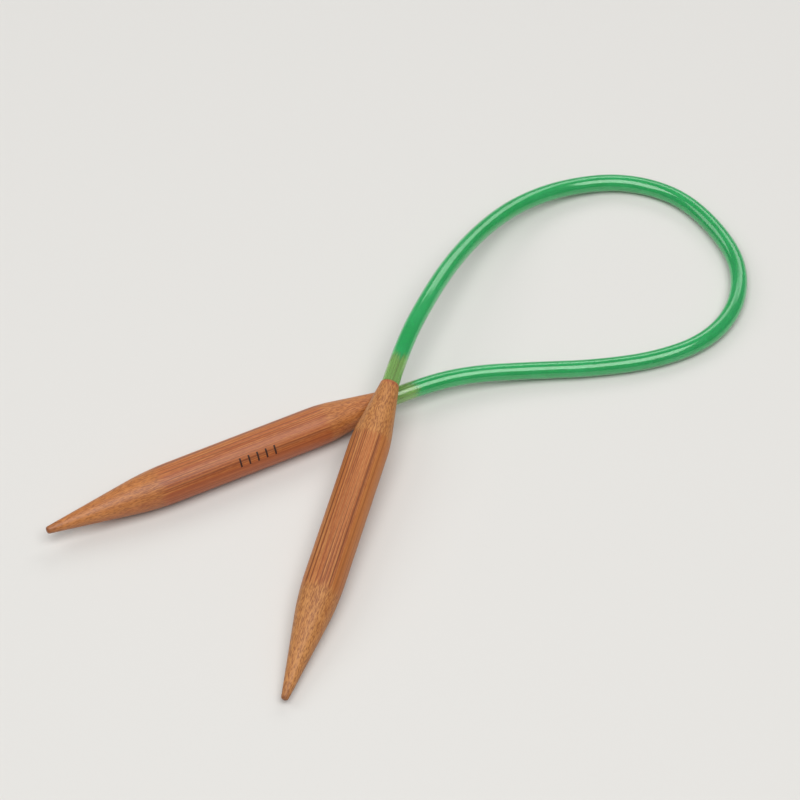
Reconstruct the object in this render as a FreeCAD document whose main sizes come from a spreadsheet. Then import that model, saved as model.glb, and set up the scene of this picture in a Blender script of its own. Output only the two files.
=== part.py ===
import FreeCAD, Part
import math
import os
import Sketcher
from FreeCAD import Vector

# A circular knitting needle: two turned bamboo tips on the ends of one hollow flexible tube.
# It lies on a flat surface, z = 0, with the tube in one open loop. Both tips rest on the surface,
# and the rear end of the front tip lies just above the rear end of the left one.
# The origin is on that surface, below the middle of the two tips' box. Units: mm and degrees.
#
# A tip is drawn along its own +X axis: x = 0 is the shoulder that the tube's end butts against,
# the stub inside the tube runs to -stub_length, and the blunt point is at tip_length.

# Driving dimensions: alias, value, what it is
SIZES = [
    ("shank_radius", 5.0, "radius of the straight shank, half the needle's size"),
    ("tip_length", 90.8, "shoulder to point"),
    ("rear_taper", 17.0, "length of the cone from the shoulder up to the shank"),
    ("cone_start", 63.1, "shoulder to where the shank ends and the point's cone starts"),
    ("shoulder_radius", 2.35, "radius of the shoulder where the tube ends"),
    ("point_radius", 0.85, "radius of the flat at the very point"),
    ("rear_blend", 40.0, "rounding between rear cone and shank"),
    ("point_blend", 80.0, "rounding between shank and point cone"),
    ("point_round", 0.6, "rounding of the blunt point"),
    ("rim_round", 0.25, "rounding of the shoulder's rim"),
    ("stub_radius", 1.3, "radius of the stub inside the tube"),
    ("stub_length", 9.2, "length of the stub"),
    ("stub_chamfer", 0.3, "chamfer on the stub's inner end"),
    ("film_radius", 1.45, "outer radius of the glue film on the stub"),
    ("film_inset", 1.2, "how far the film stops short of each end of the stub"),
    ("tube_radius", 2.2, "outer radius of the tube"),
    ("bore_radius", 1.5, "inner radius of the tube"),
    ("left_x", 36.479, "left tip's shoulder"),
    ("left_y", 38.738, "left tip's shoulder"),
    ("left_z", 5.0, "left tip's shoulder: its shank lies on the surface"),
    ("left_heading", 206.29, "direction the left point faces, about Z from +X"),
    ("left_dip", 0.0, "how far the left point dips below level"),
    ("front_x", 37.458, "front tip's shoulder"),
    ("front_y", 39.04, "front tip's shoulder"),
    ("front_z", 10.598, "front tip's shoulder, held up by the left tip below it"),
    ("front_heading", 254.35, "direction the front point faces, about Z from +X"),
    ("front_dip", 5.28, "how far the front point dips below level"),
]

# The route of the tube's middle line, from the front tip's shoulder round to the left one's.
# The first and last runs lie along the tips' axes and start 0.05 clear of the shoulders.
ROUTE = [
    (37.471, 39.088, 10.603),
    (40.735, 50.738, 11.721),
    (46.2, 63.6, 12.75),
    (52.9, 78.2, 11.2),
    (60.9, 92.1, 8.0),
    (70.5, 103.5, 5.2),
    (83.0, 111.2, 3.2),
    (98.0, 114.2, 2.25),
    (112.2, 109.3, 2.25),
    (121.6, 98.0, 2.25),
    (127.2, 85.0, 2.25),
    (125.6, 71.0, 2.25),
    (117.6, 59.9, 2.25),
    (104.5, 53.7, 2.25),
    (88.6, 50.9, 2.3),
    (72.6, 49.8, 2.8),
    (58.2, 47.7, 4.1),
    (46.655, 43.765, 5.0),
    (36.528, 38.762, 5.0),
]
ARC_SHARE = 0.45  # an arc's tangent length, as a share of the shorter of its two runs
VOLUME_TOLERANCE = 0.001  # share by which the tube may differ from its section times its length
NEAR = 1e-4

doc = FreeCAD.newDocument("circular_needle")
sheet = doc.addObject("Spreadsheet::Sheet", "Sizes")
for row, (alias, value, meaning) in enumerate(SIZES, start=1):
    sheet.set(f"A{row}", meaning)
    sheet.set(f"B{row}", str(value))
    sheet.setAlias(f"B{row}", alias)
doc.recompute()


def size(alias):
    """The sheet's value of a driving dimension."""
    return float(sheet.get(alias))


def base_plane(body, role):
    """One of a body's own base planes, by its role."""
    return next(f for f in body.Origin.OriginFeatures if f.Role == role)


def new_body(name):
    """An empty body whose label names its file."""
    body = doc.addObject("PartDesign::Body", name)
    body.Label = name
    return body


def new_sketch(body, name, role):
    """An empty sketch on one of the body's own base planes."""
    sketch = body.newObject("Sketcher::SketchObject", name)
    sketch.AttachmentSupport = (base_plane(body, role), "")
    sketch.MapMode = "FlatFace"
    return sketch


def place_on_tip(body, tip):
    """Ties a body's place to the sheet's shoulder position and direction of one tip."""
    place = f"vector(Sizes.{tip}_x; Sizes.{tip}_y; Sizes.{tip}_z)"
    turn = f"rotation(Sizes.{tip}_heading; Sizes.{tip}_dip; 0)"
    body.setExpression("Placement", f"placement({place}; {turn})")


def signed_size(text):
    """The sheet's value of an alias that may have a minus sign before it; "0" is nothing."""
    if text == "0":
        return 0.0
    return -size(text[1:]) if text.startswith("-") else size(text)


def signed_cell(text):
    """The expression that reads an alias that may have a minus sign before it."""
    return f"-Sizes.{text[1:]}" if text.startswith("-") else f"Sizes.{text}"


def add_outline(sketch, corners):
    """Draws a closed outline of straight lines and ties each corner's x and y to the sheet.

    A corner is two aliases, each with or without a minus; "0" puts the corner on that axis.
    """
    points = [Vector(signed_size(x), signed_size(y), 0) for x, y in corners]
    for start, end in zip(points, points[1:] + points[:1]):
        sketch.addGeometry(Part.LineSegment(start, end), False)
    count = len(corners)
    for line in range(count):
        sketch.addConstraint(Sketcher.Constraint("Coincident", line, 2, (line + 1) % count, 1))
    for line, (corner, point) in enumerate(zip(corners, points)):
        for kind, text, value, axis in (
            ("DistanceX", corner[0], point.x, -2),
            ("DistanceY", corner[1], point.y, -1),
        ):
            if text == "0":
                sketch.addConstraint(Sketcher.Constraint("PointOnObject", line, 1, axis))
                continue
            index = sketch.addConstraint(Sketcher.Constraint(kind, -1, 1, line, 1, value))
            sketch.setExpression(f"Constraints[{index}]", signed_cell(text))


def rim_at(feature, along, radius):
    """The name of a feature's circular edge about its X axis, by its place and its radius."""
    for index, edge in enumerate(feature.Shape.Edges, start=1):
        curve = edge.Curve
        if isinstance(curve, Part.Circle):
            if abs(curve.Center.x - along) < NEAR and abs(curve.Radius - radius) < NEAR:
                return f"Edge{index}"
    raise ValueError(f"no circle of radius {radius} at {along}")


def dress_rim(body, kind, along, radius, alias):
    """Rounds or chamfers one circular edge of the body's last feature, as the sheet says."""
    doc.recompute()
    last = body.Tip
    dressed = body.newObject(f"PartDesign::{kind}", f"{body.Name}_{alias}")
    dressed.Base = (last, [rim_at(last, signed_size(along), size(radius))])
    dressed.setExpression("Radius" if kind == "Fillet" else "Size", f"Sizes.{alias}")
    return dressed


def needle_tip(name, tip):
    """One bamboo tip: blunt point, point cone, shank, rear cone, shoulder and stub, turned."""
    body = new_body(name)
    outline = new_sketch(body, f"{name}_outline", "XZ_Plane")
    add_outline(
        outline,
        [
            ("-stub_length", "0"),
            ("-stub_length", "stub_radius"),
            ("0", "stub_radius"),
            ("0", "shoulder_radius"),
            ("rear_taper", "shank_radius"),
            ("cone_start", "shank_radius"),
            ("tip_length", "point_radius"),
            ("tip_length", "0"),
        ],
    )
    turned = body.newObject("PartDesign::Revolution", f"{name}_turned")
    turned.Profile = outline
    turned.ReferenceAxis = (outline, ["H_Axis"])
    turned.Angle = 360.0
    for kind, along, radius, alias in (
        ("Fillet", "cone_start", "shank_radius", "point_blend"),
        ("Fillet", "rear_taper", "shank_radius", "rear_blend"),
        ("Fillet", "tip_length", "point_radius", "point_round"),
        ("Fillet", "0", "shoulder_radius", "rim_round"),
        ("Chamfer", "-stub_length", "stub_radius", "stub_chamfer"),
    ):
        dress_rim(body, kind, along, radius, alias)
    place_on_tip(body, tip)
    return body


def glue_film(name, tip):
    """The thin sleeve of adhesive round a tip's stub, just short of the stub's two ends."""
    body = new_body(name)
    ring = new_sketch(body, f"{name}_ring", "YZ_Plane")
    for alias in ("film_radius", "stub_radius"):
        circle = ring.addGeometry(Part.Circle(Vector(), Vector(0, 0, 1), size(alias)), False)
        ring.addConstraint(Sketcher.Constraint("Coincident", circle, 3, -1, 1))
        index = ring.addConstraint(Sketcher.Constraint("Radius", circle, size(alias)))
        ring.setExpression(f"Constraints[{index}]", f"Sizes.{alias}")
    inset = "placement(vector(0; 0; -Sizes.film_inset); rotation(0; 0; 0))"
    ring.setExpression("AttachmentOffset", inset)
    sleeve = body.newObject("PartDesign::Pad", f"{name}_sleeve")
    sleeve.Profile = ring
    sleeve.Reversed = True
    sleeve.setExpression("Length", "Sizes.stub_length - 2 * Sizes.film_inset")
    place_on_tip(body, tip)
    return body


def rounded_path(points):
    """A wire of straight runs joined by tangent arcs, and the arcs' radii.

    Each arc is as large as its two runs allow: its tangent length is ARC_SHARE of the shorter.
    """
    points = [Vector(*p) for p in points]
    edges, radii, start = [], [], points[0]
    for before, corner, after in zip(points, points[1:], points[2:]):
        to_corner, from_corner = corner - before, after - corner
        reach = ARC_SHARE * min(to_corner.Length, from_corner.Length)
        to_corner.normalize()
        from_corner.normalize()
        turn = to_corner.getAngle(from_corner)
        radius = reach / math.tan(turn / 2)
        enter, leave = corner - to_corner * reach, corner + from_corner * reach
        inward = (from_corner - to_corner).normalize()
        middle = corner + inward * (radius / math.cos(turn / 2) - radius)
        edges.append(Part.LineSegment(start, enter).toShape())
        edges.append(Part.Arc(enter, middle, leave).toShape())
        radii.append(radius)
        start = leave
    edges.append(Part.LineSegment(start, points[-1]).toShape())
    return Part.Wire(edges), radii


def swept_round(name, path, alias):
    """A solid round bar along a path, its radius tied to the sheet."""
    section = doc.addObject("Part::Circle", f"{name}_section")
    section.setExpression("Radius", f"Sizes.{alias}")
    first = path.Shape.Edges[0]
    along = first.tangentAt(first.FirstParameter)
    turn = FreeCAD.Rotation(Vector(0, 0, 1), along)
    section.Placement = FreeCAD.Placement(first.valueAt(first.FirstParameter), turn)
    bar = doc.addObject("Part::Sweep", name)
    bar.Sections = [section]
    bar.Spine = (path, [])
    bar.Solid = True
    bar.Transition = "Right corner"
    return bar


def connecting_tube():
    """The hollow tube along its route: an outer bar less the bore."""
    wire, radii = rounded_path(ROUTE)
    print("tube length", round(wire.Length, 1), "arc radii", [round(r, 1) for r in radii])
    path = doc.addObject("Part::Feature", "tube_path")
    path.Shape = wire
    tube = doc.addObject("Part::Cut", "connecting_tube")
    tube.Label = "connecting_tube"
    tube.Base = swept_round("tube_outside", path, "tube_radius")
    tube.Tool = swept_round("tube_bore", path, "bore_radius")
    doc.recompute()
    section = math.pi * (size("tube_radius") ** 2 - size("bore_radius") ** 2)
    share = tube.Shape.Volume / (section * wire.Length)
    print("tube volume over section times length", round(share, 5))
    if abs(share - 1) > VOLUME_TOLERANCE:
        raise ValueError("the tube's volume is not its section times its length")
    return tube


def check_document():
    """Stops if any object of the document has failed."""
    for item in doc.Objects:
        if "Invalid" in item.State or "Error" in item.State:
            raise ValueError(f"{item.Name} is {item.State}")


def write_parts(pieces):
    """Writes one STEP file per piece, named by its label."""
    os.makedirs("parts", exist_ok=True)
    for piece in pieces:
        shape = piece.Shape
        if shape.isNull() or not shape.isValid() or len(shape.Solids) != 1:
            raise ValueError(f"{piece.Label} is not one valid solid")
        shape.exportStep(f"parts/{piece.Label}.step")
        box = shape.BoundBox
        print(f"{piece.Label}: {shape.Volume:.1f} mm3, {box}")


pieces = [
    needle_tip("needle_tip_front", "front"),
    needle_tip("needle_tip_left", "left"),
    glue_film("glue_film_front", "front"),
    glue_film("glue_film_left", "left"),
    connecting_tube(),
]
doc.recompute()
check_document()
write_parts(pieces)
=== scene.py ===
import logging
import math
from dataclasses import dataclass, field
from enum import Enum
from typing import Any, Mapping, Sequence

import bpy
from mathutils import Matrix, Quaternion, Vector


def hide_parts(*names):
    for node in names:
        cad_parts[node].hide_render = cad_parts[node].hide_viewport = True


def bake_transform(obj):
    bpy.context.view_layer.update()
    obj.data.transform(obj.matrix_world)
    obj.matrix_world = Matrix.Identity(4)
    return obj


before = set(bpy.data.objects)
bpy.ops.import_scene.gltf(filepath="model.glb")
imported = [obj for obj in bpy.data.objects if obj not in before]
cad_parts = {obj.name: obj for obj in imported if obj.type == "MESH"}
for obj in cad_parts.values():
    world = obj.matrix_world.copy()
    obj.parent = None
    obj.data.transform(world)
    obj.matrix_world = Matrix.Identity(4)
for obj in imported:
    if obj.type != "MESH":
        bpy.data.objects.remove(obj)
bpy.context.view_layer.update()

LOG = logging.getLogger("circular_needle")
MM = 0.001
TUBE_UV = "round_and_along_cm"

Colour = tuple[float, float, float, float]


class Side(Enum):
    """The two needle tips; the value is the word in a tip's node and body names."""

    FRONT = "front"
    LEFT = "left"


class Face(Enum):
    """The kinds of face on a length of tube."""

    WALL = "wall"
    END = "end at the shoulder"
    SEAM = "end that runs on into the next length"


def linear(code: str) -> Colour:
    """Turns an sRGB hex colour into the linear colour that shaders take.

    Args:
        code: The colour as "#rrggbb".

    Returns:
        Linear red, green, blue and an alpha of 1.
    """
    channels = (int(code[i : i + 2], 16) / 255 for i in (1, 3, 5))
    red, green, blue = (
        c / 12.92 if c <= 0.04045 else ((c + 0.055) / 1.055) ** 2.4 for c in channels
    )
    return red, green, blue, 1.0


def add_node(
    tree: bpy.types.NodeTree,
    kind: str,
    settings: Mapping[str | int, Any] | None = None,
    links: Mapping[str | int, bpy.types.NodeSocket] | None = None,
) -> bpy.types.Node:
    """Adds one node with its settings and links.

    Args:
        tree: The material's node tree.
        kind: The node's type name.
        settings: Values by the node's property name, or by an input's name or number.
        links: Output sockets by the name or number of the input they go into.

    Returns:
        The new node.
    """
    node = tree.nodes.new(kind)
    for key, value in (settings or {}).items():
        if isinstance(key, str) and hasattr(node, key):
            setattr(node, key, value)
        else:
            node.inputs[key].default_value = value
    for key, socket in (links or {}).items():
        tree.links.new(socket, node.inputs[key])
    return node


def new_material(name: str) -> bpy.types.Material:
    """Makes a material whose node tree is empty.

    Args:
        name: The real material's name.

    Returns:
        The material.
    """
    material = bpy.data.materials.new(name)
    material.use_nodes = True
    material.node_tree.nodes.clear()
    return material


def finish_material(tree: bpy.types.NodeTree, shader: bpy.types.Node) -> None:
    """Sends a shader to the material's surface output."""
    add_node(tree, "ShaderNodeOutputMaterial", {}, {"Surface": shader.outputs["BSDF"]})


@dataclass(frozen=True)
class TipFrame:
    """Where one tip lies: its own +X runs from its shoulder to its point."""

    shoulder_mm: tuple[float, float, float]
    heading_deg: float
    dip_deg: float

    def direction(self) -> Vector:
        """Works out the way the point faces.

        Returns:
            A unit vector in the part's frame.
        """
        heading, dip = math.radians(self.heading_deg), math.radians(self.dip_deg)
        level = math.cos(dip)
        return Vector((level * math.cos(heading), level * math.sin(heading), -math.sin(dip)))

    def point_at(self, along_mm: float) -> Vector:
        """A place on the tip's axis, in metres.

        Args:
            along_mm: How far it is from the shoulder towards the point.

        Returns:
            The place in the part's frame.
        """
        return Vector(self.shoulder_mm) * MM + self.direction() * along_mm * MM

    def coordinates(self, tree: bpy.types.NodeTree) -> bpy.types.NodeSocket:
        """Adds the nodes that give a shader the tip's own coordinates.

        Args:
            tree: The material's node tree.

        Returns:
            A vector socket in metres, x along the tip from its shoulder.
        """
        place = add_node(tree, "ShaderNodeTexCoord")
        turn = (0.0, math.radians(self.dip_deg), math.radians(self.heading_deg))
        local = add_node(
            tree,
            "ShaderNodeMapping",
            {"vector_type": "TEXTURE", "Location": self.point_at(0.0), "Rotation": turn},
            {"Vector": place.outputs["Object"]},
        )
        return local.outputs["Vector"]


@dataclass(frozen=True)
class BurnedMark:
    """A row of plain ticks burned into the shank, in place of any lettering."""

    first_mm: float = 31.8
    pitch_mm: float = 2.3
    count: int = 5
    line_mm: float = 0.45
    height_mm: float = 2.4
    angle_deg: float = 35.0
    shank_radius_mm: float = 5.0

    def mask(self, tree: bpy.types.NodeTree, axes: bpy.types.Node) -> bpy.types.NodeSocket:
        """Adds the nodes that are 1 on the ticks and 0 elsewhere.

        Args:
            tree: The material's node tree.
            axes: The node that gives the tip's x, y and z in metres.

        Returns:
            The mask's socket.
        """
        steps = add_node(
            tree,
            "ShaderNodeMapRange",
            {
                "clamp": False,
                "From Min": self.first_mm * MM,
                "From Max": (self.first_mm + self.pitch_mm) * MM,
            },
            {"Value": axes.outputs["X"]},
        )
        share = add_node(
            tree, "ShaderNodeMath", {"operation": "FRACT"}, {0: steps.outputs["Result"]}
        )
        edge = self.line_mm / self.pitch_mm
        line = add_node(
            tree,
            "ShaderNodeMath",
            {"operation": "LESS_THAN", 1: edge},
            {0: share.outputs["Value"]},
        )
        within = add_node(
            tree,
            "ShaderNodeMath",
            {"operation": "COMPARE", 1: self.count / 2, 2: self.count / 2},
            {0: steps.outputs["Result"]},
        )
        angle = add_node(
            tree,
            "ShaderNodeMath",
            {"operation": "ARCTAN2"},
            {0: axes.outputs["Z"], 1: axes.outputs["Y"]},
        )
        half_height = self.height_mm / 2 / self.shank_radius_mm
        band = add_node(
            tree,
            "ShaderNodeMath",
            {"operation": "COMPARE", 1: math.radians(self.angle_deg), 2: half_height},
            {0: angle.outputs["Value"]},
        )
        row = add_node(
            tree,
            "ShaderNodeMath",
            {"operation": "MULTIPLY"},
            {0: line.outputs["Value"], 1: within.outputs["Value"]},
        )
        ticks = add_node(
            tree,
            "ShaderNodeMath",
            {"operation": "MULTIPLY"},
            {0: row.outputs["Value"], 1: band.outputs["Value"]},
        )
        return ticks.outputs["Value"]


@dataclass(frozen=True)
class CarbonisedBamboo:
    """Steamed brown bamboo, turned from one strip, sanded and waxed.

    The strip's vascular bundles lie in layers side by side with its dense outer skin. The eye
    sees the layers as unbroken dark and pale lines along the shank. The cones cut them at a
    slant into short specks, and the skin is a smoother, warmer band down one side. The wax
    gives a soft, broken gloss.
    """

    name: str
    pale: str
    mid: str
    bundle: str
    skin: str
    cut: str
    rim: str = "#a4452b"
    burn: str = "#32180e"
    layer_mm: float = 0.34  # from one layer of bundles to the next
    layer_run_mm: float = 90.0
    layer_width_mm: float = 2.4
    layer_share: float = 0.85  # how dark a layer of bundles is
    speck_mm: float = 0.26
    speck_run_mm: float = 1.5
    speck_share: float = 0.6  # how dark a cut bundle is
    fibre_mm: float = 0.28  # drawn at four times the real fibre's width, so that it shows
    fibre_run_mm: float = 28.0
    tone_mm: float = 3.6  # width of the strip's broad paler and darker bands
    tone_run_mm: float = 40.0
    pale_share: float = 0.8  # how pale the palest fibres are
    skin_depth_mm: float = 2.3  # from the axis to the dense outer skin
    skin_edge_mm: tuple[float, float] = (0.15, 0.35)  # past that depth, where the edge fades
    skin_fray_mm: float = 0.5
    skin_cover: tuple[float, float] = (0.25, 0.52)  # on the cones, and on the shank
    skin_angle_deg: float = 0.0
    rim_mm: tuple[float, float] = (1.3, 0.3)  # from the shoulder, where the redness fades
    rim_ragged_mm: float = 1.2
    rim_share: float = 0.45
    handled_mm: float = 4.0  # length of the darkened point
    handled_share: float = 0.5
    relief_mm: float = 0.05
    relief_strength: float = 0.45
    shank_radius_mm: float = 5.0
    shank_edge_mm: tuple[float, float] = (0.2, 0.05)  # inside the radius, where the cones end
    tip_length_mm: float = 90.8
    roughness: float = 0.42
    wax: float = 0.12
    wax_roughness: float = 0.3
    mark: BurnedMark | None = None

    def material(self, tip: TipFrame) -> bpy.types.Material:
        """Makes the finish for one tip.

        Args:
            tip: Where the tip lies.

        Returns:
            The material, in the tip's own coordinates.
        """
        material = new_material(self.name)
        tree = material.node_tree
        local = tip.coordinates(tree)
        axes = add_node(tree, "ShaderNodeSeparateXYZ", {}, {"Vector": local})
        strip = add_node(
            tree,
            "ShaderNodeVectorRotate",
            {"rotation_type": "X_AXIS", "Angle": -math.radians(self.skin_angle_deg)},
            {"Vector": local},
        ).outputs["Vector"]
        fibres = self._grain(tree, strip, (self.fibre_run_mm, self.fibre_mm, self.fibre_mm))
        on_shank = self._shank(tree, local)
        colour = self._ground(tree, strip, fibres, on_shank)
        colour, specks = self._specks(tree, strip, on_shank, colour)
        colour, layers = self._layers(tree, strip, on_shank, colour)
        colour = self._skin(tree, strip, fibres, on_shank, colour)
        colour = self._ends(tree, axes, specks, colour)
        if self.mark is not None:
            ticks = self.mark.mask(tree, axes)
            burned = add_node(
                tree,
                "ShaderNodeMix",
                {"data_type": "RGBA", 7: linear(self.burn)},
                {0: ticks, 6: colour},
            )
            colour = burned.outputs[2]
        rough = add_node(
            tree,
            "ShaderNodeMapRange",
            {
                "From Min": 0.3,
                "From Max": 0.7,
                "To Min": self.roughness - 0.06,
                "To Max": self.roughness + 0.12,
            },
            {"Value": fibres},
        )
        height = add_node(
            tree, "ShaderNodeMath", {"operation": "MAXIMUM"}, {0: layers, 1: specks}
        )
        relief = add_node(
            tree,
            "ShaderNodeBump",
            {
                "Strength": self.relief_strength,
                "Distance": self.relief_mm * MM,
                "invert": True,
            },
            {"Height": height.outputs["Value"]},
        )
        shader = add_node(
            tree,
            "ShaderNodeBsdfPrincipled",
            {"IOR": 1.5, "Coat Weight": self.wax, "Coat Roughness": self.wax_roughness},
            {
                "Base Color": colour,
                "Roughness": rough.outputs["Result"],
                "Normal": relief.outputs["Normal"],
            },
        )
        finish_material(tree, shader)
        return material

    @staticmethod
    def _grain(
        tree: bpy.types.NodeTree,
        strip: bpy.types.NodeSocket,
        grain_mm: tuple[float, float, float],
        detail: float = 1.5,
    ) -> bpy.types.NodeSocket:
        """Adds a noise whose grains are stretched along the strip.

        Args:
            tree: The material's node tree.
            strip: The strip's coordinates: along it, towards its skin, and across.
            grain_mm: A grain's size in those three directions.
            detail: How many finer noises are laid over the first.

        Returns:
            The noise, 0 to 1 and mostly near a half.
        """
        stretched = add_node(
            tree,
            "ShaderNodeVectorMath",
            {"operation": "MULTIPLY", 1: tuple(1 / (size * MM) for size in grain_mm)},
            {0: strip},
        )
        noise = add_node(
            tree,
            "ShaderNodeTexNoise",
            {"Scale": 1.0, "Detail": detail, "Roughness": 0.6},
            {"Vector": stretched.outputs["Vector"]},
        )
        return noise.outputs["Fac"]

    def _shank(
        self, tree: bpy.types.NodeTree, local: bpy.types.NodeSocket
    ) -> bpy.types.NodeSocket:
        """Tells the straight shank from the cones, by distance from the axis.

        Args:
            tree: The material's node tree.
            local: The tip's own coordinates.

        Returns:
            A socket that is 1 on the shank and 0 on the cones.
        """
        across = add_node(
            tree,
            "ShaderNodeVectorMath",
            {"operation": "MULTIPLY", 1: (0.0, 1.0, 1.0)},
            {0: local},
        )
        radius = add_node(
            tree, "ShaderNodeVectorMath", {"operation": "LENGTH"}, {0: across.outputs["Vector"]}
        )
        low, high = self.shank_edge_mm
        on_shank = add_node(
            tree,
            "ShaderNodeMapRange",
            {
                "interpolation_type": "SMOOTHSTEP",
                "From Min": (self.shank_radius_mm - low) * MM,
                "From Max": (self.shank_radius_mm - high) * MM,
            },
            {"Value": radius.outputs["Value"]},
        )
        return on_shank.outputs["Result"]

    def _ground(
        self,
        tree: bpy.types.NodeTree,
        strip: bpy.types.NodeSocket,
        fibres: bpy.types.NodeSocket,
        on_shank: bpy.types.NodeSocket,
    ) -> bpy.types.NodeSocket:
        """Lays the pith's colour, in broad tones with fine pale fibres.

        Args:
            tree: The material's node tree.
            strip: The strip's coordinates.
            fibres: The fine fibre noise.
            on_shank: 1 on the shank, 0 on the cones.

        Returns:
            The colour's socket.
        """
        tone = self._grain(tree, strip, (self.tone_run_mm, self.tone_mm, self.tone_mm))
        plain = add_node(
            tree,
            "ShaderNodeMix",
            {"data_type": "RGBA", 6: linear(self.cut), 7: linear(self.mid)},
            {0: on_shank},
        )
        toned = add_node(
            tree,
            "ShaderNodeMix",
            {"data_type": "RGBA", "blend_type": "SOFT_LIGHT", 0: 0.8},
            {6: plain.outputs[2], 7: tone},
        )
        pale_share = add_node(
            tree,
            "ShaderNodeMapRange",
            {"From Min": 0.46, "From Max": 0.7, "To Max": self.pale_share},
            {"Value": fibres},
        )
        paled = add_node(
            tree,
            "ShaderNodeMix",
            {"data_type": "RGBA", 7: linear(self.pale)},
            {0: pale_share.outputs["Result"], 6: toned.outputs[2]},
        )
        return paled.outputs[2]

    def _specks(
        self,
        tree: bpy.types.NodeTree,
        strip: bpy.types.NodeSocket,
        on_shank: bpy.types.NodeSocket,
        colour: bpy.types.NodeSocket,
    ) -> tuple[bpy.types.NodeSocket, bpy.types.NodeSocket]:
        """Adds the cut bundles: dense dark specks on the cones and faint ones on the shank.

        Args:
            tree: The material's node tree.
            strip: The strip's coordinates.
            on_shank: 1 on the shank, 0 on the cones.
            colour: The colour so far.

        Returns:
            The new colour, and the specks' mask.
        """
        speck = self._grain(tree, strip, (self.speck_run_mm, self.speck_mm, self.speck_mm))
        strength = add_node(
            tree,
            "ShaderNodeMapRange",
            {"To Min": self.speck_share, "To Max": 0.2},
            {"Value": on_shank},
        )
        mask = add_node(
            tree,
            "ShaderNodeMapRange",
            {"interpolation_type": "SMOOTHSTEP", "From Min": 0.49, "From Max": 0.64},
            {"Value": speck, "To Max": strength.outputs["Result"]},
        )
        between = add_node(
            tree,
            "ShaderNodeMapRange",
            {"interpolation_type": "SMOOTHSTEP", "From Min": 0.51, "From Max": 0.36},
            {"Value": speck, "To Max": strength.outputs["Result"]},
        )
        paled = add_node(
            tree,
            "ShaderNodeMix",
            {"data_type": "RGBA", 7: linear(self.pale)},
            {0: between.outputs["Result"], 6: colour},
        )
        darkened = add_node(
            tree,
            "ShaderNodeMix",
            {"data_type": "RGBA", 7: linear(self.bundle)},
            {0: mask.outputs["Result"], 6: paled.outputs[2]},
        )
        return darkened.outputs[2], mask.outputs["Result"]

    def _layers(
        self,
        tree: bpy.types.NodeTree,
        strip: bpy.types.NodeSocket,
        on_shank: bpy.types.NodeSocket,
        colour: bpy.types.NodeSocket,
    ) -> tuple[bpy.types.NodeSocket, bpy.types.NodeSocket]:
        """Adds the dark lines that the layers of bundles leave along the shank.

        Args:
            tree: The material's node tree.
            strip: The strip's coordinates.
            on_shank: 1 on the shank, 0 on the cones.
            colour: The colour so far.

        Returns:
            The new colour, and the lines' mask.
        """
        layer = self._grain(
            tree, strip, (self.layer_run_mm, self.layer_mm, self.layer_width_mm), 0.5
        )
        strength = add_node(
            tree, "ShaderNodeMapRange", {"To Max": self.layer_share}, {"Value": on_shank}
        )
        mask = add_node(
            tree,
            "ShaderNodeMapRange",
            {"interpolation_type": "SMOOTHSTEP", "From Min": 0.52, "From Max": 0.62},
            {"Value": layer, "To Max": strength.outputs["Result"]},
        )
        lined = add_node(
            tree,
            "ShaderNodeMix",
            {"data_type": "RGBA", 7: linear(self.bundle)},
            {0: mask.outputs["Result"], 6: colour},
        )
        return lined.outputs[2], mask.outputs["Result"]

    def _skin(
        self,
        tree: bpy.types.NodeTree,
        strip: bpy.types.NodeSocket,
        fibres: bpy.types.NodeSocket,
        on_shank: bpy.types.NodeSocket,
        colour: bpy.types.NodeSocket,
    ) -> bpy.types.NodeSocket:
        """Covers the skin's side with its smoother, warmer colour, thinly on the cones.

        Args:
            tree: The material's node tree.
            strip: The strip's coordinates.
            fibres: The fine fibre noise, which frays the skin's edge.
            on_shank: 1 on the shank, 0 on the cones.
            colour: The colour so far.

        Returns:
            The new colour's socket.
        """
        depth = add_node(tree, "ShaderNodeSeparateXYZ", {}, {"Vector": strip})
        frayed = add_node(
            tree,
            "ShaderNodeMath",
            {"operation": "MULTIPLY_ADD", 1: self.skin_fray_mm * MM},
            {0: fibres, 2: depth.outputs["Y"]},
        )
        on_cone, on_straight = self.skin_cover
        cover = add_node(
            tree,
            "ShaderNodeMapRange",
            {"To Min": on_cone, "To Max": on_straight},
            {"Value": on_shank},
        )
        low, high = self.skin_edge_mm
        share = add_node(
            tree,
            "ShaderNodeMapRange",
            {
                "From Min": (self.skin_depth_mm + low) * MM,
                "From Max": (self.skin_depth_mm + high) * MM,
            },
            {"Value": frayed.outputs["Value"], "To Max": cover.outputs["Result"]},
        )
        covered = add_node(
            tree,
            "ShaderNodeMix",
            {"data_type": "RGBA", 7: linear(self.skin)},
            {0: share.outputs["Result"], 6: colour},
        )
        return covered.outputs[2]

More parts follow.
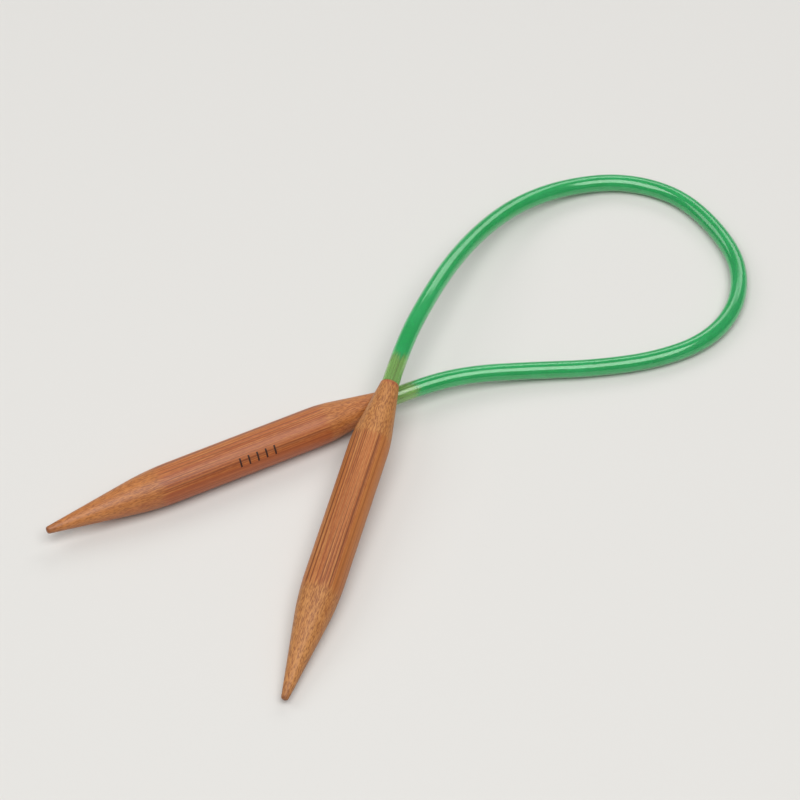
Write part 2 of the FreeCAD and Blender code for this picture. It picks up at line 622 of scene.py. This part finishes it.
    def _ends(
        self,
        tree: bpy.types.NodeTree,
        axes: bpy.types.Node,
        specks: bpy.types.NodeSocket,
        colour: bpy.types.NodeSocket,
    ) -> bpy.types.NodeSocket:
        """Reddens the end grain at the shoulder and darkens the handled point.

        Args:
            tree: The material's node tree.
            axes: The node that gives the tip's x, y and z in metres.
            specks: The specks' mask, which breaks the red edge up.
            colour: The colour so far.

        Returns:
            The new colour's socket.
        """
        ragged = add_node(
            tree,
            "ShaderNodeMath",
            {"operation": "MULTIPLY_ADD", 1: -self.rim_ragged_mm * MM},
            {0: specks, 2: axes.outputs["X"]},
        )
        far, near = self.rim_mm
        at_rim = add_node(
            tree,
            "ShaderNodeMapRange",
            {"From Min": far * MM, "From Max": near * MM, "To Max": self.rim_share},
            {"Value": ragged.outputs["Value"]},
        )
        rimmed = add_node(
            tree,
            "ShaderNodeMix",
            {"data_type": "RGBA", 7: linear(self.rim)},
            {0: at_rim.outputs["Result"], 6: colour},
        )
        at_point = add_node(
            tree,
            "ShaderNodeMapRange",
            {
                "From Min": (self.tip_length_mm - self.handled_mm) * MM,
                "From Max": self.tip_length_mm * MM,
                "To Max": self.handled_share,
            },
            {"Value": axes.outputs["X"]},
        )
        handled = add_node(
            tree,
            "ShaderNodeMix",
            {"data_type": "RGBA", 7: linear(self.bundle)},
            {0: at_point.outputs["Result"], 6: rimmed.outputs[2]},
        )
        return handled.outputs[2]


@dataclass(frozen=True)
class SoftVinyl:
    """Plasticised PVC tube, extruded and tinted emerald green.

    The eye sees a hazy, glossy green that it can half look through: a pale streak of light
    along the middle, and an olive shade where the wooden stub is inside.
    """

    name: str = "soft_pvc_emerald"
    deep: str = "#24c868"
    bright: str = "#52e696"
    over_stub: str = "#c4e57e"
    stub_grain: str = "#a39a4c"
    stub_mm: float = 8.0
    smear_mm: float = 5.0  # how raggedly the glue ends on the stub
    stub_fade_mm: tuple[float, float] = (1.2, -1.6)  # from the stub's end, where the olive goes
    stub_share: float = 0.7  # how much of the wood shows through the wall
    streak_mm: float = 0.6  # width of the die's faint lines along the tube
    cloud_mm: float = 9.0
    clarity: float = 0.62
    roughness: float = 0.17
    skin_gloss: float = 0.7
    skin_roughness: float = 0.12
    ior: float = 1.53

    def material(self) -> bpy.types.Material:
        """Makes the finish; the UV map runs round the tube and along it, in centimetres.

        Returns:
            The material.
        """
        material = new_material(self.name)
        tree = material.node_tree
        flat = add_node(tree, "ShaderNodeUVMap", {"uv_map": TUBE_UV})
        along = add_node(tree, "ShaderNodeSeparateXYZ", {}, {"Vector": flat.outputs["UV"]})
        cloud = add_node(
            tree,
            "ShaderNodeTexNoise",
            {"Scale": 10.0 / self.cloud_mm, "Detail": 2.0},
            {"Vector": flat.outputs["UV"]},
        )
        lines_space = add_node(
            tree,
            "ShaderNodeVectorMath",
            {"operation": "MULTIPLY", 1: (10.0 / self.streak_mm, 0.25, 1.0)},
            {0: flat.outputs["UV"]},
        )
        lines = add_node(
            tree,
            "ShaderNodeTexNoise",
            {"Scale": 1.0, "Detail": 1.0},
            {"Vector": lines_space.outputs["Vector"]},
        )
        tint = add_node(
            tree,
            "ShaderNodeMix",
            {"data_type": "RGBA", 6: linear(self.deep), 7: linear(self.bright)},
            {0: cloud.outputs["Fac"]},
        )
        smeared = add_node(
            tree,
            "ShaderNodeMath",
            {"operation": "MULTIPLY_ADD", 1: self.smear_mm / 10},
            {0: lines.outputs["Fac"], 2: along.outputs["Y"]},
        )
        stub_end = self.stub_mm + self.smear_mm / 2
        gone, full = self.stub_fade_mm
        over_stub = add_node(
            tree,
            "ShaderNodeMapRange",
            {
                "interpolation_type": "SMOOTHSTEP",
                "From Min": (stub_end + gone) / 10,
                "From Max": (stub_end + full) / 10,
                "To Max": self.stub_share,
            },
            {"Value": smeared.outputs["Value"]},
        )
        grain = add_node(
            tree,
            "ShaderNodeMapRange",
            {"From Min": 0.45, "From Max": 0.7, "To Max": 0.7},
            {"Value": lines.outputs["Fac"]},
        )
        stub = add_node(
            tree,
            "ShaderNodeMix",
            {"data_type": "RGBA", 6: linear(self.over_stub), 7: linear(self.stub_grain)},
            {0: grain.outputs["Result"]},
        )
        tinted = add_node(
            tree,
            "ShaderNodeMix",
            {"data_type": "RGBA"},
            {0: over_stub.outputs["Result"], 6: tint.outputs[2], 7: stub.outputs[2]},
        )
        relief = add_node(
            tree,
            "ShaderNodeBump",
            {"Strength": 0.08, "Distance": 0.05 * MM},
            {"Height": lines.outputs["Fac"]},
        )
        shader = add_node(
            tree,
            "ShaderNodeBsdfPrincipled",
            {
                "Roughness": self.roughness,
                "IOR": self.ior,
                "Transmission Weight": self.clarity,
                "Coat Weight": self.skin_gloss,
                "Coat Roughness": self.skin_roughness,
            },
            {"Base Color": tinted.outputs[2], "Normal": relief.outputs["Normal"]},
        )
        finish_material(tree, shader)
        return material

    def unbroken(self) -> bpy.types.Material:
        """Makes the clear face where two lengths of one tube run into each other unseen.

        Returns:
            The material.
        """
        material = new_material(f"{self.name}_unbroken")
        tree = material.node_tree
        finish_material(tree, add_node(tree, "ShaderNodeBsdfTransparent"))
        return material


@dataclass(frozen=True)
class HardenedGlue:
    """Clear cyanoacrylate, hardened on the wooden stub: glassy and faintly yellow."""

    name: str = "hardened_cyanoacrylate"
    clear: str = "#efe6c4"
    droplet_mm: float = 1.2

    def material(self) -> bpy.types.Material:
        """Makes the finish.

        Returns:
            The material.
        """
        material = new_material(self.name)
        tree = material.node_tree
        place = add_node(tree, "ShaderNodeTexCoord")
        smears = add_node(
            tree,
            "ShaderNodeTexNoise",
            {"Scale": 1 / (self.droplet_mm * MM), "Detail": 2.0},
            {"Vector": place.outputs["Object"]},
        )
        rough = add_node(
            tree,
            "ShaderNodeMapRange",
            {"To Min": 0.08, "To Max": 0.35},
            {"Value": smears.outputs["Fac"]},
        )
        shader = add_node(
            tree,
            "ShaderNodeBsdfPrincipled",
            {"Base Color": linear(self.clear), "IOR": 1.49, "Transmission Weight": 0.9},
            {"Roughness": rough.outputs["Result"]},
        )
        finish_material(tree, shader)
        return material


@dataclass(frozen=True)
class PalePaper:
    """Matt background paper: even and pale, with no gloss."""

    name: str = "background_paper"
    tone: str = "#dcdad6"
    fibre_mm: float = 0.8

    def material(self) -> bpy.types.Material:
        """Makes the finish.

        Returns:
            The material.
        """
        material = new_material(self.name)
        tree = material.node_tree
        place = add_node(tree, "ShaderNodeTexCoord")
        fibres = add_node(
            tree,
            "ShaderNodeTexNoise",
            {"Scale": 1 / (self.fibre_mm * MM), "Detail": 2.0},
            {"Vector": place.outputs["Object"]},
        )
        relief = add_node(
            tree,
            "ShaderNodeBump",
            {"Strength": 0.04, "Distance": 0.05 * MM},
            {"Height": fibres.outputs["Fac"]},
        )
        shader = add_node(
            tree,
            "ShaderNodeBsdfPrincipled",
            {"Base Color": linear(self.tone), "Roughness": 0.9, "Specular IOR Level": 0.2},
            {"Normal": relief.outputs["Normal"]},
        )
        finish_material(tree, shader)
        return material


@dataclass
class NeedleTip:
    """One turned bamboo tip with the glue on its stub; both shapes come from the CAD model."""

    side: Side
    place: TipFrame
    wood: CarbonisedBamboo
    glue: HardenedGlue = field(default_factory=HardenedGlue)

    @property
    def body(self) -> str:
        """The CAD body that the tip belongs to."""
        return f"{self.side.value}_tip"

    def dress(self) -> None:
        """Gives the tip and its glue film their finishes."""
        for node, material in (
            (f"needle_tip_{self.side.value}", self.wood.material(self.place)),
            (f"glue_film_{self.side.value}", self.glue.material()),
        ):
            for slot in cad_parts[node].material_slots:
                slot.material = material
            LOG.info("dressed %s in %s", node, material.name)


@dataclass
class ConnectingTube:
    """The hollow flexible tube, as two lengths that meet at the far side of its loop."""

    route_mm: Sequence[tuple[float, float, float]]
    outside_mm: float = 4.4
    wall_mm: float = 0.7
    sides: int = 40
    spans: int = 18
    rigid_mm: float = 9.2  # held straight by the stub inside
    bend_mm: float = 59.0  # from the shoulder to where the bend at a tip ends
    sharp_deg: float = 60.0  # edges that turn more than this stay crisp
    finish: SoftVinyl = field(default_factory=SoftVinyl)

    def build(self, front: NeedleTip, left: NeedleTip) -> None:
        """Builds both lengths, with one skin round the outside and one round the bore.

        Args:
            front: The tip that the route starts at.
            left: The tip that the route ends at.
        """
        line = self._centreline()
        frames = self._frames(line)
        middle = len(line) // 2
        finishes = (self.finish.material(), self.finish.unbroken())
        for tip, stretch in (
            (front, range(0, middle + 1)),
            (left, range(len(line) - 1, middle - 1, -1)),
        ):
            path = [line[i] for i in stretch]
            piece = self._length_of_tube(
                f"tube_{tip.side.value}_half", path, [frames[i] for i in stretch]
            )
            for material in finishes:
                piece.data.materials.append(material)
            self._attach(piece)
            LOG.info("built %s, %d rings", piece.name, len(path))

    def _centreline(self) -> list[Vector]:
        """Reads the points of a smooth spline whose control points are the route.

        Returns:
            The points from the front shoulder to the left one, in metres.
        """
        curve = bpy.data.curves.new("tube_route", "CURVE")
        curve.dimensions = "3D"
        spline = curve.splines.new("NURBS")
        spline.points.add(len(self.route_mm) - 1)
        for point, place in zip(spline.points, self.route_mm):
            point.co = (*(c * MM for c in place), 1.0)
        spline.order_u = 3
        spline.use_endpoint_u = True
        spline.resolution_u = self.spans
        carrier = bpy.data.objects.new("tube_route", curve)
        line = bpy.data.meshes.new_from_object(carrier)
        points = [vertex.co.copy() for vertex in line.vertices]
        bpy.data.objects.remove(carrier)
        bpy.data.curves.remove(curve)
        bpy.data.meshes.remove(line)
        return points

    @staticmethod
    def _frames(line: Sequence[Vector]) -> list[tuple[Vector, Vector]]:
        """Carries one pair of cross directions along the line without twist.

        Args:
            line: The centreline's points.

        Returns:
            For each point, two unit vectors across the line.
        """
        last = len(line) - 1
        tangents = [
            (line[min(i + 1, last)] - line[max(i - 1, 0)]).normalized() for i in range(last + 1)
        ]
        side = tangents[0].cross(Vector((0, 0, 1))).normalized()
        frames = []
        for before, tangent in zip([tangents[0], *tangents], tangents):
            turn: Quaternion = before.rotation_difference(tangent)
            side = turn @ side
            side = (side - tangent * side.dot(tangent)).normalized()
            frames.append((side, tangent.cross(side)))
        return frames

    def _length_of_tube(
        self, name: str, path: Sequence[Vector], frames: Sequence[tuple[Vector, Vector]]
    ) -> bpy.types.Object:
        """Makes a closed length of tube: outside, bore and an end face at each end.

        Args:
            name: The piece's name.
            path: Its centreline, from its tip's shoulder on.
            frames: The cross directions at each of the path's points.

        Returns:
            The new object, in the scene.
        """
        outer = self.outside_mm / 2 * MM
        inner = outer - self.wall_mm * MM
        steps = [0.0]
        for before, after in zip(path, path[1:]):
            steps.append(steps[-1] + (after - before).length)
        angles = [2 * math.pi * k / self.sides for k in range(self.sides)]
        vertices = [
            centre + (side * math.cos(a) + up * math.sin(a)) * radius
            for radius in (outer, inner)
            for centre, (side, up) in zip(path, frames)
            for a in angles
        ]
        rings, count = len(path), self.sides
        handed = frames[0][0].cross(frames[0][1]).dot(path[1] - path[0]) > 0
        faces: list[tuple[int, ...]] = []
        corners: list[tuple[float, float]] = []
        kinds: list[Face] = []

        def add_face(cells: Sequence[tuple[int, int, int]], kind: Face) -> None:
            """Adds a face, turned to face outwards.

            Args:
                cells: Its corners, each as a wall, a ring and a place round the ring.
                kind: What kind of face it is.
            """
            ordered = cells if handed else tuple(reversed(cells))
            for wall, ring, place in ordered:
                corners.append((place / count * 2 * math.pi * outer * 100, steps[ring] * 100))
            faces.append(
                tuple((wall * rings + ring) * count + place % count for wall, ring, place in ordered)
            )
            kinds.append(kind)

        for k in range(count):
            for i in range(rings - 1):
                quad = ((0, i, k), (0, i, k + 1), (0, i + 1, k + 1), (0, i + 1, k))
                add_face(quad, Face.WALL)
                bore = tuple((1, ring, place) for _, ring, place in reversed(quad))
                add_face(bore, Face.WALL)
            start = ((0, 0, k), (1, 0, k), (1, 0, k + 1), (0, 0, k + 1))
            add_face(start, Face.END)
            end = tuple((wall, rings - 1, place) for wall, _, place in reversed(start))
            add_face(end, Face.SEAM)

        mesh = bpy.data.meshes.new(name)
        mesh.from_pydata(vertices, [], faces)
        mesh.polygons.foreach_set("use_smooth", [kind is Face.WALL for kind in kinds])
        mesh.polygons.foreach_set("material_index", [int(kind is Face.SEAM) for kind in kinds])
        mesh.set_sharp_from_angle(angle=math.radians(self.sharp_deg))
        layer = mesh.uv_layers.new(name=TUBE_UV)
        layer.data.foreach_set("uv", [value for corner in corners for value in corner])
        mesh.update()
        piece = bpy.data.objects.new(name, mesh)
        bpy.context.scene.collection.objects.link(piece)
        return piece

    def _attach(self, piece: bpy.types.Object) -> None:
        """Args:
            piece: The length of tube.
        """
        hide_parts("connecting_tube")
        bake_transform(piece)

    @staticmethod
    def _point_along(path: Sequence[Vector], distance: float) -> Vector:
        """Finds the first of a path's points that is at least a distance along it.

        Args:
            path: The path's points.
            distance: How far along, in metres.

        Returns:
            The point, or the path's last one.
        """
        run = 0.0
        for before, after in zip(path, path[1:]):
            run += (after - before).length
            if run >= distance:
                return after
        return path[-1]


@dataclass
class Studio:
    """A pale floor, soft lights and the camera."""

    look_at_mm: tuple[float, float, float] = (39.933, 42.593, 0.0)
    elevation_deg: float = 51.5
    distance_mm: float = 847.6
    lens_mm: float = 153.0
    sensor_mm: float = 36.0
    floor_mm: float = 3000.0
    sheet_mm: float = 1.0
    air: str = "#e6e8ea"
    air_strength: float = 0.25
    paper: PalePaper = field(default_factory=PalePaper)

    def build(self) -> None:
        """Sets up everything that isn't part of the object."""
        self._floor()
        self._camera()
        self._light("key", (0.1, -0.3, 1.1), (1.3, 0.85), 12.5)
        self._light("left", (-0.8, 0.3, 0.8), (0.6, 0.6), 2.2)
        self._light("back", (0.3, 0.9, 0.7), (1.0, 0.4), 2.6)
        world = bpy.data.worlds.new("studio_air")
        world.use_nodes = True
        background = world.node_tree.nodes["Background"]
        background.inputs["Color"].default_value = linear(self.air)
        background.inputs["Strength"].default_value = self.air_strength
        bpy.context.scene.world = world
        bpy.context.scene.view_settings.view_transform = "Standard"

    def _floor(self) -> None:
        """A wide sheet of paper with its top at z = 0."""
        bpy.ops.object.select_all(action="DESELECT")
        thick = self.sheet_mm * MM
        bpy.ops.mesh.primitive_plane_add(size=self.floor_mm * MM, location=(0, 0, -thick))
        floor = bpy.context.object
        floor.name = "paper_floor"
        bpy.ops.object.mode_set(mode="EDIT")
        bpy.ops.mesh.select_all(action="SELECT")
        bpy.ops.mesh.extrude_region_move(TRANSFORM_OT_translate={"value": (0, 0, thick)})
        bpy.ops.mesh.select_all(action="SELECT")
        bpy.ops.mesh.normals_make_consistent(inside=False)
        bpy.ops.object.mode_set(mode="OBJECT")
        bpy.ops.object.transform_apply(location=True, rotation=True, scale=True)
        floor.data.materials.append(self.paper.material())

    def _camera(self) -> None:
        """The camera looks along +Y and down."""
        elevation = math.radians(self.elevation_deg)
        back = Vector((0.0, -math.cos(elevation), math.sin(elevation)))
        place = Vector(self.look_at_mm) * MM + back * self.distance_mm * MM
        bpy.ops.object.camera_add(
            location=place, rotation=(math.radians(90.0 - self.elevation_deg), 0.0, 0.0)
        )
        camera = bpy.context.object
        camera.data.sensor_width = self.sensor_mm
        camera.data.lens = self.lens_mm
        bpy.context.scene.camera = camera

    def _light(
        self,
        name: str,
        place: tuple[float, float, float],
        size: tuple[float, float],
        watts: float,
    ) -> None:
        """Adds one soft box that faces the object.

        Args:
            name: The light's name.
            place: Where it hangs, in metres.
            size: Its face's width and height, in metres.
            watts: Its power.
        """
        bpy.ops.object.light_add(type="AREA", location=place)
        lamp = bpy.context.object
        lamp.name = name
        lamp.data.shape = "RECTANGLE"
        lamp.data.size, lamp.data.size_y = size
        lamp.data.energy = watts
        aim = Vector(self.look_at_mm) * MM - Vector(place)
        lamp.rotation_euler = aim.to_track_quat("-Z", "Y").to_euler()


def main() -> None:
    """Builds the needle and its studio."""
    logging.basicConfig(level=logging.INFO, format="%(name)s: %(message)s")
    front = NeedleTip(
        Side.FRONT,
        TipFrame((37.458, 39.04, 10.598), 254.35, 5.28),
        CarbonisedBamboo(
            name="carbonised_bamboo_tan",
            pale="#cb8d4f",
            mid="#b0652f",
            bundle="#743a1b",
            skin="#b56b28",
            cut="#b07139",
            skin_angle_deg=-11.0,
            roughness=0.5,
            wax=0.05,
            wax_roughness=0.4,
        ),
    )
    left = NeedleTip(
        Side.LEFT,
        TipFrame((36.479, 38.738, 5.0), 206.29, 0.0),
        CarbonisedBamboo(
            name="carbonised_bamboo_red_brown",
            pale="#ca8449",
            mid="#ad5e2d",
            bundle="#6e361b",
            skin="#aa5325",
            cut="#ae6933",
            skin_angle_deg=-36.0,
            layer_mm=0.3,
            speck_share=0.42,
            layer_share=0.55,
            roughness=0.45,
            wax=0.12,
            mark=BurnedMark(),
        ),
    )
    front.dress()
    left.dress()
    tube = ConnectingTube(
        route_mm=[
            (37.471, 39.088, 10.603),
            (40.735, 50.738, 11.721),
            (46.2, 63.6, 12.75),
            (52.9, 78.2, 11.2),
            (60.9, 92.1, 8.0),
            (70.5, 103.5, 5.2),
            (83.0, 111.2, 3.2),
            (98.0, 114.2, 2.25),
            (112.2, 109.3, 2.25),
            (121.6, 98.0, 2.25),
            (127.2, 85.0, 2.25),
            (125.6, 71.0, 2.25),
            (117.6, 59.9, 2.25),
            (104.5, 53.7, 2.25),
            (88.6, 50.9, 2.3),
            (72.6, 49.8, 2.8),
            (58.2, 47.7, 4.1),
            (46.655, 43.765, 5.0),
            (36.528, 38.762, 5.0),
        ]
    )
    tube.build(front, left)
    Studio().build()


if __name__ == "__main__":
    main()
